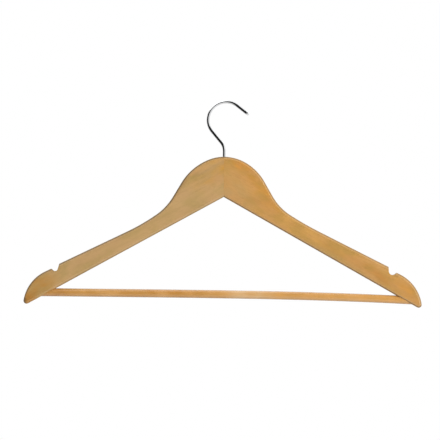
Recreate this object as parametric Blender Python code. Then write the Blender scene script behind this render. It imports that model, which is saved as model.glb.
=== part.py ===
# Flat wooden clothes hanger: two arms glued together by a comb joint, a dowel bar between
# their ends, and a chromed wire hook that turns freely in a bore down the joint.
#
# Metres, +Z up. The front faces -Y and the hook opens towards +X.
# World origin: where the crown of the hook bears on a rail, on the axis that the hook turns about.
# Every piece is drawn from the point of the V in the hanger's underside, and the empty
# hanger_frame carries that point to its place under the rail.

import math

import bmesh
import bpy
from mathutils import Matrix, Vector

# Wooden body
HALF_SPAN = 0.2231           # centre to the outer curve of an arm's end
THICKNESS = 0.012            # front face to back face
HUMP_HEIGHT = 0.045          # point of the V to the top of the hump
EDGE_ROUND = 0.003           # round-over along every long edge
UNDERSIDE_SLOPE = 29.1       # degrees, fall of an arm's straight underside
SHOULDER_SLOPE = 26.0        # degrees, fall of the straight edge that carries the clothes
SHOULDER_RISE = 0.0139       # height at which the two shoulder lines would cross

# Hump and neck: arcs that run into each other, given by the slope at which each one ends
HUMP_RADIUS = 0.0512
FLANK_SLOPE = 58.2           # degrees, the steep straight beside the hump
NECK_RADIUS = 0.0528
NECK_END_SLOPE = 35.8        # degrees
SHOULDER_RADIUS = 0.228

# Arm end: one large curve, a little lower than the shoulder line, and a small rounded corner
TIP_RADIUS = 0.0433
TIP_STEP = 0.0019            # how far the edge outside the strap notch lies below the shoulder
CORNER_SPARE = 0.0004
CORNER_RADIUS = EDGE_ROUND + CORNER_SPARE    # the round-over has to fit inside it

# Strap notch: a round-bottomed slot across the upper edge
NOTCH_INSET = 0.0339         # centre of its bottom, from the outer curve
NOTCH_X = HALF_SPAN - NOTCH_INSET
NOTCH_DEPTH = 0.0065         # its bottom below the shoulder line
NOTCH_RADIUS = 0.004
NOTCH_TILT = 12.0            # degrees, lean of the slot towards the hanger's centre

# Comb joint between the arms, seen from above as a zigzag
COMB_FINGERS = 4             # fingers across the thickness, alternately from each arm
COMB_DEPTH = 0.005           # reach of a finger past the centre
COMB_TIP = 0.0008            # width of a finger's blunt end
COMB_SHOULDER = 0.0006       # butt joint left at each face, which shows as a straight seam

# Trouser bar: a dowel that is level at its left end and droops towards its right end
BAR_RADIUS = 0.0045
BAR_END_WALL = 0.0086        # wood left outside each end, as far as the outer curve reaches
BAR_HALF_LENGTH = HALF_SPAN - BAR_END_WALL
BAR_RISE = 0.01558           # axis above the foot of the underside, below the outer curve
BAR_DEPTH = HALF_SPAN * math.tan(math.radians(UNDERSIDE_SLOPE)) - BAR_RISE
BAR_DROOP = 0.005            # how much lower the right end lies
BAR_DROOP_POWER = 4          # the droop grows with this power of the distance from the left end
BAR_CHAMFER = 0.0006

# Brads that hold the bar, driven from the back
PIN_INSET = 0.004            # from the bar's end
PIN_X = BAR_HALF_LENGTH - PIN_INSET
PIN_RISE = 0.0015            # above the bar's axis, clear of the round-over below
PIN_RADIUS = 0.0006
PIN_HEAD_RADIUS = 0.0009
PIN_HEAD_THICKNESS = 0.0005
PIN_LENGTH = 0.0066
PIN_SINK = 0.0004            # head below the back face

# Hook
WIRE_RADIUS = 0.0016
CROWN_RADIUS = 0.0203        # of the wire's centre line
CROWN_CLEARANCE = 0.0412     # centre of the loop above the hump
CROWN_HEIGHT = HUMP_HEIGHT + CROWN_CLEARANCE
CROWN_OFFSET = 0.0019        # centre of the loop right of the shank
THROAT_LEAN = 40.0           # degrees, lean of the straight between shank and loop
SHANK_BEND_RADIUS = 0.008
TIP_HEADING = 128.0          # degrees from upright, direction of the straight end
TIP_LENGTH = 0.0135          # straight end of the wire, without its rounded tip
HEAD_RADIUS = 0.0026         # upset end of the wire under the washer
HEAD_THICKNESS = 0.0018
HEAD_CHAMFER = 0.0005

# Washer in its counterbore
SEAT_HEIGHT = 0.006          # roof of the counterbore above the point of the V
WASHER_RADIUS = 0.0034
WASHER_THICKNESS = 0.0008

# Clearances
GAP = 0.0003                 # between pieces that touch
GLUE_LINE = 0.0003           # between the two arms
BORE_CLEARANCE = 0.00025     # wire to bore, all round

# Fineness of the faceted curves
CHORD_ERROR = 0.00003        # most that a facet strays from its arc
ROUND_SEGMENTS = 4           # along the round-over
WIRE_SIDES = 16
BAR_SIDES = 24
HOLE_SIDES = 32
PIN_SIDES = 12
BAR_STATIONS = 16            # rings along the bent dowel
TIP_ROUND_RINGS = 4
SMOOTH_BELOW = 32.0          # degrees, edges flatter than this are shaded smooth
OVERRUN = 0.01               # how far a cutter reaches past what it cuts

# Finishes: sRGB colour in 0 to 255, roughness, metallic
LACQUERED_TAN = ((192, 157, 108), 0.38, 0.0)
LACQUERED_HONEY = ((207, 156, 90), 0.38, 0.0)
LACQUERED_DOWEL = ((206, 161, 96), 0.34, 0.0)
CHROME_PLATE = ((222, 224, 226), 0.08, 1.0)
ZINC_STEEL = ((168, 170, 172), 0.35, 1.0)


def heading(degrees):
    """Unit vector in the XZ plane, its angle measured from +Z towards +X."""
    angle = math.radians(degrees)
    return Vector((math.sin(angle), 0.0, math.cos(angle)))


def arc(centre, radius, start, end):
    """Points on an arc between two headings, close enough together for CHORD_ERROR."""
    widest = 2.0 * math.degrees(math.acos(1.0 - CHORD_ERROR / radius))
    count = max(2, math.ceil(abs(end - start) / widest))
    return [centre + heading(start + (end - start) * i / count) * radius for i in range(count + 1)]


def hollow_arc(start_point, radius, start, end):
    """Points on an arc that bends upwards, from a slope to a flatter slope."""
    centre = start_point + heading(start) * radius
    return arc(centre, radius, start + 180.0, end + 180.0)


# Outline of the wooden body


def shoulder_line(x, drop=0.0):
    """Point on the straight upper edge of the right arm, or that far below it."""
    return Vector((x, 0.0, SHOULDER_RISE - drop - x * math.tan(math.radians(SHOULDER_SLOPE))))


def hump_and_neck():
    """Upper edge of the right half, from the centre to the start of the straight shoulder."""
    hump = arc(Vector((0.0, 0.0, HUMP_HEIGHT - HUMP_RADIUS)), HUMP_RADIUS, 0.0, FLANK_SLOPE)
    neck_run = (heading(FLANK_SLOPE) - heading(NECK_END_SLOPE)) * NECK_RADIUS
    shoulder_run = (heading(NECK_END_SLOPE) - heading(SHOULDER_SLOPE)) * SHOULDER_RADIUS
    # The flank is as long as it takes for the last arc to end on the shoulder line.
    short_end = hump[-1] + neck_run + shoulder_run
    flank = heading(FLANK_SLOPE + 90.0)
    fall = math.tan(math.radians(SHOULDER_SLOPE))
    flank_length = (shoulder_line(short_end.x).z - short_end.z) / (flank.z + fall * flank.x)
    neck = hollow_arc(hump[-1] + flank * flank_length, NECK_RADIUS, FLANK_SLOPE, NECK_END_SLOPE)
    shoulder = hollow_arc(neck[-1], SHOULDER_RADIUS, NECK_END_SLOPE, SHOULDER_SLOPE)
    return hump + neck + shoulder[1:]


def arm_end():
    """End of the right arm: the outer curve, and the corner that rounds it into the underside."""
    slope = math.radians(SHOULDER_SLOPE)
    centre = shoulder_line(HALF_SPAN - TIP_RADIUS, TIP_STEP)
    centre.z -= TIP_RADIUS / math.cos(slope)
    # The corner's centre lies CORNER_RADIUS inside both the underside and the outer curve.
    outward = heading(UNDERSIDE_SLOPE + 90.0)
    lift = heading(UNDERSIDE_SLOPE) * CORNER_RADIUS
    to_lift = lift - centre
    along = to_lift.dot(outward)
    reach = TIP_RADIUS - CORNER_RADIUS
    distance = math.sqrt(along ** 2 - to_lift.length_squared + reach ** 2) - along
    corner = outward * distance + lift
    meeting = math.degrees(math.atan2(corner.x - centre.x, corner.z - centre.z))
    outer = arc(centre, TIP_RADIUS, SHOULDER_SLOPE, meeting)
    rounded = arc(corner, CORNER_RADIUS, meeting, UNDERSIDE_SLOPE + 180.0)
    return outer + rounded[1:]


def body_outline():
    """Outline of the whole wooden body in the XZ plane, without its strap notches."""
    step = [shoulder_line(NOTCH_X), shoulder_line(NOTCH_X, TIP_STEP)]
    right = hump_and_neck() + step + arm_end()
    left = [Vector((-point.x, 0.0, point.z)) for point in reversed(right[1:])]
    return right + [Vector((0.0, 0.0, 0.0))] + left


# Mesh building


def extruded(outline, travel):
    """Solid mesh of a flat outline extruded along a vector."""
    mesh = bmesh.new()
    face = mesh.faces.new([mesh.verts.new(point) for point in outline])
    grown = bmesh.ops.extrude_face_region(mesh, geom=[face])["geom"]
    moved = [item for item in grown if isinstance(item, bmesh.types.BMVert)]
    bmesh.ops.translate(mesh, verts=moved, vec=travel)
    bmesh.ops.recalc_face_normals(mesh, faces=mesh.faces)
    return mesh


def swept(path, radii, sides):
    """Round solid along a path in the XZ plane, its end face extruded from point to point."""
    frames = []
    for i, point in enumerate(path):
        direction = path[min(i + 1, len(path) - 1)] - path[max(i - 1, 0)]
        turn = math.atan2(direction.x, direction.z)
        frames.append(Matrix.Translation(point) @ Matrix.Rotation(turn, 4, "Y") @ Matrix.Scale(radii[i], 4))
    mesh = bmesh.new()
    bmesh.ops.create_circle(mesh, cap_ends=True, segments=sides, radius=1.0, matrix=frames[0])
    mesh.faces.ensure_lookup_table()
    first_cap = mesh.faces[0]
    end = first_cap
    for before, after in zip(frames, frames[1:]):
        left_behind = end
        grown = bmesh.ops.extrude_face_region(mesh, geom=[end])["geom"]
        end = next(item for item in grown if isinstance(item, bmesh.types.BMFace))
        bmesh.ops.transform(mesh, matrix=after @ before.inverted(), verts=end.verts)
        if left_behind is not first_cap:
            bmesh.ops.delete(mesh, geom=[left_behind], context="FACES_ONLY")
    bmesh.ops.recalc_face_normals(mesh, faces=mesh.faces)
    return mesh


def upright_cylinder(radius, bottom, top, sides):
    """Cylinder on the Z axis between two heights."""
    return swept([Vector((0.0, 0.0, bottom)), Vector((0.0, 0.0, top))], [radius, radius], sides)


def finished(name, mesh, parent, material):
    """Object made of the mesh, smooth where its facets stand for a curve."""
    data = bpy.data.meshes.new(name)
    mesh.to_mesh(data)
    mesh.free()
    data.shade_smooth()
    data.set_sharp_from_angle(angle=math.radians(SMOOTH_BELOW))
    data.materials.append(material)
    piece = bpy.data.objects.new(name, data)
    bpy.context.scene.collection.objects.link(piece)
    piece.parent = parent
    return piece


def cutter(name, mesh, parent):
    """Object that only takes material away from others."""
    data = bpy.data.meshes.new(name)
    mesh.to_mesh(data)
    mesh.free()
    tool = bpy.data.objects.new(name, data)
    bpy.context.scene.collection.objects.link(tool)
    tool.parent = parent
    tool.hide_render = True
    tool.display_type = "WIRE"
    return tool


def cut_away(piece, *tools):
    """Takes each tool's volume out of the piece."""
    for tool in tools:
        modifier = piece.modifiers.new(tool.name, "BOOLEAN")
        modifier.operation = "DIFFERENCE"
        modifier.object = tool


def finish(name, look):
    """Principled material from an sRGB colour, a roughness and a metallic value."""
    colour, roughness, metallic = look
    linear = []
    for value in colour:
        share = value / 255.0
        linear.append(share / 12.92 if share <= 0.04045 else ((share + 0.055) / 1.055) ** 2.4)
    material = bpy.data.materials.new(name)
    material.use_nodes = True
    shader = material.node_tree.nodes["Principled BSDF"]
    shader.inputs["Base Color"].default_value = (*linear, 1.0)
    shader.inputs["Roughness"].default_value = roughness
    shader.inputs["Metallic"].default_value = metallic
    return material


# Wooden body


def wooden_blank():
    """Both arms as one board, all its long edges rounded over."""
    front = [Vector((point.x, -THICKNESS / 2.0, point.z)) for point in body_outline()]
    mesh = extruded(front, (0.0, THICKNESS, 0.0))
    rims = [edge for edge in mesh.edges if abs(edge.verts[0].co.y - edge.verts[1].co.y) < THICKNESS / 2.0]
    bmesh.ops.bevel(mesh, geom=rims, offset=EDGE_ROUND, segments=ROUND_SEGMENTS, profile=0.5,
                    affect="EDGES", clamp_overlap=False, material=-1)
    return mesh


def comb_line(shift):
    """Zigzag of the joint seen from above, front to back, moved towards +X by shift along its normals."""
    toothed = THICKNESS / 2.0 - COMB_SHOULDER
    width = 2.0 * toothed / COMB_FINGERS
    far = THICKNESS / 2.0 + OVERRUN
    line = [Vector((0.0, -far)), Vector((0.0, -toothed))]
    for finger in range(COMB_FINGERS):
        side = COMB_DEPTH if finger % 2 == 0 else -COMB_DEPTH
        middle = -toothed + (finger + 0.5) * width
        line.append(Vector((side, middle - COMB_TIP / 2.0)))
        line.append(Vector((side, middle + COMB_TIP / 2.0)))
    line += [Vector((0.0, toothed)), Vector((0.0, far))]
    normals = []
    for a, b in zip(line, line[1:]):
        run = (b - a).normalized()
        normals.append(Vector((run.y, -run.x)))
    moved = []
    for i, point in enumerate(line):
        before = normals[max(i - 1, 0)]
        after = normals[min(i, len(normals) - 1)]
        moved.append(point + (before + after) * (shift / (1.0 + before.dot(after))))
    return moved


def other_half(side):
    """Block on the far side of the comb joint from the arm on this side, -1 left or 1 right."""
    far = -side * (HALF_SPAN + OVERRUN)
    line = comb_line(side * GLUE_LINE / 2.0)
    bottom = -HALF_SPAN
    top = HUMP_HEIGHT + OVERRUN
    outline = [Vector((point.x, point.y, bottom)) for point in line]
    outline.append(Vector((far, line[-1].y, bottom)))
    outline.append(Vector((far, line[0].y, bottom)))
    return extruded(outline, (0.0, 0.0, top - bottom))


def strap_notch(side):
    """Slot with a round bottom, leaning towards the centre, through the whole thickness."""
    bottom = shoulder_line(NOTCH_X, NOTCH_DEPTH)
    centre = bottom + Vector((0.0, 0.0, NOTCH_RADIUS))
    rise = heading(-NOTCH_TILT) * (NOTCH_DEPTH + OVERRUN)
    round_end = arc(centre, NOTCH_RADIUS, 90.0 - NOTCH_TILT, 270.0 - NOTCH_TILT)
    outline = round_end + [round_end[-1] + rise, round_end[0] + rise]
    back = THICKNESS / 2.0 + OVERRUN
    return extruded([Vector((side * point.x, -back, point.z)) for point in outline], (0.0, 2.0 * back, 0.0))


def bar_axis(x):
    """Point on the dowel's centre line: level on the left, its droop growing towards the right end."""
    share = (x + BAR_HALF_LENGTH) / (2.0 * BAR_HALF_LENGTH)
    return Vector((x, 0.0, -BAR_DEPTH - BAR_DROOP * share ** BAR_DROOP_POWER))


def bar_socket():
    """The space that the bar needs, clearance included, which leaves a blind socket in each arm."""
    end = BAR_HALF_LENGTH + GAP
    path = [bar_axis(end * (2.0 * i / BAR_STATIONS - 1.0)) for i in range(BAR_STATIONS + 1)]
    return swept(path, [BAR_RADIUS + GAP] * len(path), BAR_SIDES)


def trouser_bar():
    """Bent dowel with chamfered ends."""
    inner = BAR_HALF_LENGTH - BAR_CHAMFER
    path = [bar_axis(inner * (2.0 * i / BAR_STATIONS - 1.0)) for i in range(BAR_STATIONS + 1)]
    path = [bar_axis(-BAR_HALF_LENGTH)] + path + [bar_axis(BAR_HALF_LENGTH)]
    radii = [BAR_RADIUS] * len(path)
    radii[0] = BAR_RADIUS - BAR_CHAMFER
    radii[-1] = BAR_RADIUS - BAR_CHAMFER
    return swept(path, radii, BAR_SIDES)


def at_pin(mesh, side):
    """Lays a mesh that stands on the Z axis along +Y, at the place of a brad."""
    place = Matrix.Translation(bar_axis(side * PIN_X) + Vector((0.0, 0.0, PIN_RISE)))
    lying = Matrix.Rotation(math.radians(-90.0), 4, "X")
    bmesh.ops.transform(mesh, matrix=place @ lying, verts=mesh.verts)
    return mesh


def bar_pin(side):
    """Brad with a small flat head, its point in the bar."""
    head_top = THICKNESS / 2.0 - PIN_SINK
    head_under = head_top - PIN_HEAD_THICKNESS
    point = head_top - PIN_LENGTH
    heights = [point, point + 2.0 * PIN_RADIUS, head_under - PIN_RADIUS / 2.0, head_under, head_top]
    radii = [PIN_RADIUS / 4.0, PIN_RADIUS, PIN_RADIUS, PIN_HEAD_RADIUS, PIN_HEAD_RADIUS]
    return at_pin(swept([Vector((0.0, 0.0, height)) for height in heights], radii, PIN_SIDES), side)


def pin_hole_in_arm(side):
    """Hole from the back face into the socket."""
    return at_pin(upright_cylinder(PIN_HEAD_RADIUS + GAP, 0.0, THICKNESS / 2.0 + OVERRUN, PIN_SIDES), side)


def pin_hole_in_bar(side):
    """Blind hole in the bar, a clearance deeper than the brad."""
    bottom = THICKNESS / 2.0 - PIN_SINK - PIN_LENGTH - GAP
    return at_pin(upright_cylinder(PIN_RADIUS + GAP, bottom, THICKNESS / 2.0 + OVERRUN, PIN_SIDES), side)


# Hook


def seat_below_crown():
    """Height of the crown's inner surface straight above the shank, where a rail carries the hook."""
    inner = CROWN_RADIUS - WIRE_RADIUS
    return CROWN_HEIGHT + math.sqrt(inner ** 2 - CROWN_OFFSET ** 2)


def hook_wire():
    """One wire: upset head, shank, bend, leaning straight, loop, straight end with a rounded tip."""
    crown = Vector((CROWN_OFFSET, 0.0, CROWN_HEIGHT))
    throat = heading(-THROAT_LEAN)
    entry = crown + heading(-THROAT_LEAN - 90.0) * CROWN_RADIUS
    # The leaning straight is tangent to the loop; it meets the shank's axis at this height.
    knee = entry.z - entry.x * throat.z / throat.x
    bend_start = knee - SHANK_BEND_RADIUS * math.tan(math.radians(THROAT_LEAN / 2.0))
    bend_centre = Vector((-SHANK_BEND_RADIUS, 0.0, bend_start))
    bend = arc(bend_centre, SHANK_BEND_RADIUS, 90.0, 90.0 - THROAT_LEAN)
    loop = arc(crown, CROWN_RADIUS, -THROAT_LEAN - 90.0, TIP_HEADING - 90.0)
    tip = loop[-1] + heading(TIP_HEADING) * TIP_LENGTH
    head_top = SEAT_HEIGHT - 2.0 * GAP - WASHER_THICKNESS
    head_bottom = head_top - HEAD_THICKNESS
    head = [head_bottom, head_bottom + HEAD_CHAMFER, head_top - HEAD_CHAMFER, head_top]
    path = [Vector((0.0, 0.0, height)) for height in head] + bend + loop
    radii = [HEAD_RADIUS - HEAD_CHAMFER, HEAD_RADIUS, HEAD_RADIUS, WIRE_RADIUS]
    radii += [WIRE_RADIUS] * (len(path) - len(radii))
    for ring in range(TIP_ROUND_RINGS):
        angle = 90.0 * ring / TIP_ROUND_RINGS
        path.append(tip + heading(TIP_HEADING) * (WIRE_RADIUS * math.sin(math.radians(angle))))
        radii.append(WIRE_RADIUS * math.cos(math.radians(angle)))
    return swept(path, radii, WIRE_SIDES)


def washer():
    """Flat ring in the counterbore, under the wood and on the hook's head."""
    top = SEAT_HEIGHT - GAP
    bottom = top - WASHER_THICKNESS
    hole = WIRE_RADIUS + BORE_CLEARANCE
    mesh = bmesh.new()
    section = [(hole, bottom), (WASHER_RADIUS, bottom), (WASHER_RADIUS, top), (hole, top)]
    corners = [mesh.verts.new((x, 0.0, z)) for x, z in section]
    edges = [mesh.edges.new((corners[i - 1], corners[i])) for i in range(len(corners))]
    bmesh.ops.spin(mesh, geom=corners + edges, cent=(0.0, 0.0, 0.0), axis=(0.0, 0.0, 1.0),
                   angle=math.radians(360.0), steps=HOLE_SIDES, use_merge=True)
    bmesh.ops.recalc_face_normals(mesh, faces=mesh.faces)
    return mesh


def empty(name, location, parent=None):
    """Frame that carries pieces."""
    frame = bpy.data.objects.new(name, None)
    bpy.context.scene.collection.objects.link(frame)
    frame.location = location
    frame.parent = parent
    return frame


def build():
    for leftover in list(bpy.data.objects):
        bpy.data.objects.remove(leftover, do_unlink=True)

    hanger_frame = empty("hanger_frame", (0.0, 0.0, -seat_below_crown()))
    # The wooden body turns about this frame's Z axis, which is the hook's shank.
    swivel = empty("swivel_axis", (0.0, 0.0, 0.0), hanger_frame)

    bore = upright_cylinder(WIRE_RADIUS + BORE_CLEARANCE, SEAT_HEIGHT / 2.0, HUMP_HEIGHT + OVERRUN, HOLE_SIDES)
    shank_bore = cutter("shank_bore", bore, swivel)
    counterbore = upright_cylinder(WASHER_RADIUS + GAP, -OVERRUN, SEAT_HEIGHT, HOLE_SIDES)
    washer_seat = cutter("washer_seat", counterbore, swivel)
    sockets = cutter("bar_sockets", bar_socket(), swivel)

    bar = finished("trouser_bar", trouser_bar(), swivel, finish("lacquered_dowel", LACQUERED_DOWEL))
    zinc = finish("zinc_steel", ZINC_STEEL)
    sides = (("left", -1, finish("lacquered_tan", LACQUERED_TAN)),
             ("right", 1, finish("lacquered_honey", LACQUERED_HONEY)))
    for word, side, wood in sides:
        arm = finished(word + "_arm", wooden_blank(), swivel, wood)
        far_half = cutter("beyond_" + word + "_arm", other_half(side), swivel)
        notch = cutter(word + "_strap_notch", strap_notch(side), swivel)
        arm_hole = cutter(word + "_pin_hole_in_arm", pin_hole_in_arm(side), swivel)
        cut_away(arm, far_half, shank_bore, washer_seat, sockets, notch, arm_hole)
        bar_hole = cutter(word + "_pin_hole_in_bar", pin_hole_in_bar(side), swivel)
        cut_away(bar, bar_hole)
        finished("bar_pin_" + word, bar_pin(side), swivel, zinc)

    finished("hook_washer", washer(), swivel, zinc)
    finished("hook", hook_wire(), hanger_frame, finish("chrome_plate", CHROME_PLATE))


build()
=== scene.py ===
import math
import bmesh
import bpy
from mathutils import Matrix, Vector


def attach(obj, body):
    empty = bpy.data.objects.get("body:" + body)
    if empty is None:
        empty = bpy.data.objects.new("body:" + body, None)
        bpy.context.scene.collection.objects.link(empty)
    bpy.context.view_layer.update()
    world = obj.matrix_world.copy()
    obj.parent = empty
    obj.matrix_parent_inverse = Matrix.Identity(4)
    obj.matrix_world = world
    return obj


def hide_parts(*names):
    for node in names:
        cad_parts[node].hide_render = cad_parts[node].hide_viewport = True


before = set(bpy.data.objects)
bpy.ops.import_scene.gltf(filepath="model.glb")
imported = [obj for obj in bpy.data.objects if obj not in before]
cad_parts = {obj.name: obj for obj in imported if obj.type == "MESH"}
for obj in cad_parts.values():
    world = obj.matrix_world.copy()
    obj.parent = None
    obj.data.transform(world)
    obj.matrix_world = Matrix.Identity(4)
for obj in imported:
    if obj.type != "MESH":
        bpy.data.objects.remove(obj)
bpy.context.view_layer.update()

# Everything is drawn in millimetres from the point of the V in the hanger's underside,
# +Z up, with the front facing -Y. placePiece scales it to metres and hangs it under the rail.
mm = 0.001
chordError = 0.004           # mm, how far a facet may stray from its arc
weldWithin = 0.001           # mm, vertices nearer to each other than this are made one
past = 10                    # mm, how far a cutter reaches past what it cuts


# Small tools

def heading(degrees):        # direction in the XZ plane, measured from +Z towards +X
    angle = math.radians(degrees)
    return Vector((math.sin(angle), 0, math.cos(angle)))


def arcSteps(radius, degrees):
    widest = 2 * math.degrees(math.acos(1 - chordError / radius))
    return max(2, math.ceil(abs(degrees) / widest))


def vertsOf(geometry):
    return [item for item in geometry if isinstance(item, bmesh.types.BMVert)]


def edgesOf(geometry):
    return [item for item in geometry if isinstance(item, bmesh.types.BMEdge)]


def lineTo(bm, start, point):          # straight stretch of an outline, from its last vertex
    end = bmesh.ops.extrude_vert_indiv(bm, verts=[start])["verts"][0]
    end.co = point
    return end


def arcTo(bm, start, centre, degrees):          # curved stretch, clockwise as seen from the front
    radius = (start.co - centre).length
    turned = bmesh.ops.spin(bm, geom=[start], cent=centre, axis=(0, 1, 0), angle=math.radians(degrees),
                            steps=arcSteps(radius, degrees))
    return vertsOf(turned["geom_last"])[0]


def fillAndExtrude(bm, travel):          # closed outline to solid
    bmesh.ops.edgeloop_fill(bm, edges=bm.edges[:])
    grown = bmesh.ops.extrude_face_region(bm, geom=bm.faces[:])["geom"]
    bmesh.ops.translate(bm, verts=vertsOf(grown), vec=travel)
    bmesh.ops.recalc_face_normals(bm, faces=bm.faces)


def rod(radius, start, end, sides):          # closed cylinder between two points
    along = end - start
    place = Matrix.Translation((start + end) / 2) @ along.to_track_quat("Z", "Y").to_matrix().to_4x4()
    bm = bmesh.new()
    bmesh.ops.create_cone(bm, cap_ends=True, segments=sides, radius1=radius, radius2=radius,
                          depth=along.length, matrix=place)
    return bm


def newObject(name, bm):
    data = bpy.data.meshes.new(name)
    bm.to_mesh(data)
    bm.free()
    piece = bpy.data.objects.new(name, data)
    bpy.context.scene.collection.objects.link(piece)
    return piece


def applyModifiers(piece):
    shaped = bpy.data.meshes.new_from_object(piece.evaluated_get(bpy.context.evaluated_depsgraph_get()))
    before = piece.data
    piece.modifiers.clear()
    piece.data = shaped
    bpy.data.meshes.remove(before)


def cutAway(piece, cutters):          # takes each cutter's volume out and removes the cutter
    for tool in cutters:
        cut = piece.modifiers.new(tool.name, "BOOLEAN")
        cut.operation = "DIFFERENCE"
        cut.solver = "EXACT"
        cut.object = tool
    applyModifiers(piece)
    for tool in cutters:
        bpy.data.objects.remove(tool)
    bm = bmesh.new()
    bm.from_mesh(piece.data)
    bmesh.ops.remove_doubles(bm, verts=bm.verts, dist=weldWithin)
    bm.to_mesh(piece.data)
    bm.free()


# Hangs a piece under the rail in metres, smooths it, and says what it stands for.
# Edges that turn by more than sharpFrom degrees stay sharp.
def placePiece(piece, body, node, material, sharpFrom=32):
    piece.data.transform(Matrix.Scale(mm, 4) @ Matrix.Translation((0, 0, -seatHeight)))
    piece.data.shade_smooth()
    piece.data.set_sharp_from_angle(angle=math.radians(sharpFrom))
    flats = piece.modifiers.new("flatFacesStayFlat", "WEIGHTED_NORMAL")
    flats.keep_sharp = True
    piece.data.materials.clear()
    piece.data.materials.append(material)
    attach(piece, body)
    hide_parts(node)
    print("made", piece.name, len(piece.data.polygons), "faces")


# Materials

def hexColour(code):          # sRGB hex to linear, by the standard's own formula
    shares = [int(code[i:i + 2], 16) / 255 for i in (1, 3, 5)]
    return (*[s / 12.92 if s <= 0.04045 else ((s + 0.055) / 1.055) ** 2.4 for s in shares], 1)


def addNode(tree, kind, settings, links={}):
    node = tree.nodes.new(kind)
    for name, value in settings.items():
        if isinstance(name, str) and hasattr(node, name):
            setattr(node, name, value)
        else:
            node.inputs[name].default_value = value
    for name, source in links.items():
        tree.links.new(source, node.inputs[name])
    return node


def newMaterial(name):
    material = bpy.data.materials.new(name)
    material.use_nodes = True
    tree = material.node_tree
    return material, tree, tree.nodes["Principled BSDF"]


# Lacquered hardwood: boards sawn along each arm, sanded and sprayed with clear gloss lacquer.
# To the eye it is even and tan, with soft patches and faint bands along the grain. A painted highlight
# makes a pale line on each flat face's rim, the open end grain is darker, and painted shade darkens the
# rounded edges.
# The patterns are laid on in this order. The noise within a pattern's range is made 0 to 1, and the
# shift keeps two patterns of one size apart.
grainPatterns = {            # mm along the grain and across it
    "olive": {"tone": "olive", "along": 20, "across": 11, "detail": 1, "range": (0.42, 0.62), "shift": 0},
    "rose": {"tone": "rose", "along": 20, "across": 11, "detail": 1, "range": (0.45, 0.65), "shift": 7.3},
    "streak": {"tone": "late", "along": 24, "across": 3.5, "detail": 1, "range": (0.45, 0.7), "shift": 3.1},
    "cloud": {"tone": "pale", "along": 70, "across": 22, "detail": 1, "range": (0.4, 0.65), "shift": 0},
    "band": {"tone": "late", "along": 150, "across": 2.6, "detail": 3, "range": (0.35, 0.7), "shift": 0},
    # Real fibres and pores are finer than a pixel, so these are drawn coarser.
    "fibre": {"tone": "pale", "along": 16, "across": 1.1, "detail": 2, "range": (0.2, 0.8), "shift": 0},
    "pore": {"tone": "pore", "along": 5, "across": 0.35, "detail": 0, "range": (0.6, 0.75), "shift": 0},
}
# Where on a board each change begins and where it is full, by how squarely the surface faces
# a direction: 0 is side on to it and 1 or -1 is straight at it or away from it.
edgeChanges = {
    "endGrain": (0.2, 0.9),  # along the grain
    "rimHighlight": (1, 0.93),     # front and back: the rim just outside a flat face, which gets a painted highlight
    "rounded": (0.96, 0.8),  # front and back: the rounded edge beyond that rim, which gets painted shade and thinner lacquer
    "curved": (0.02, 0.25),  # front and back: keeps the straight walls of edges, notches and holes out
    "upward": (-0.2, 0.2),   # up: from an arm's underside to its top
}
woodSpot = {
    "through": 200,          # mm, so far that a spot doesn't fade through the board's thickness
    "fullFrom": 0.7,         # share of the way in from its rim from which a spot is full
}
lacquer = {
    "woodIor": 1.5,
    "woodSpecular": 0.2,     # the wood under it hardly shines
    "woodRoughness": (0.45, 0.55),
    "relief": 0.2,           # how strongly the fibres and pores show in the light
    "reliefHeight": 0.02,    # mm
    "ior": 1.6,
    "roughness": 0.13,
}


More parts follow.
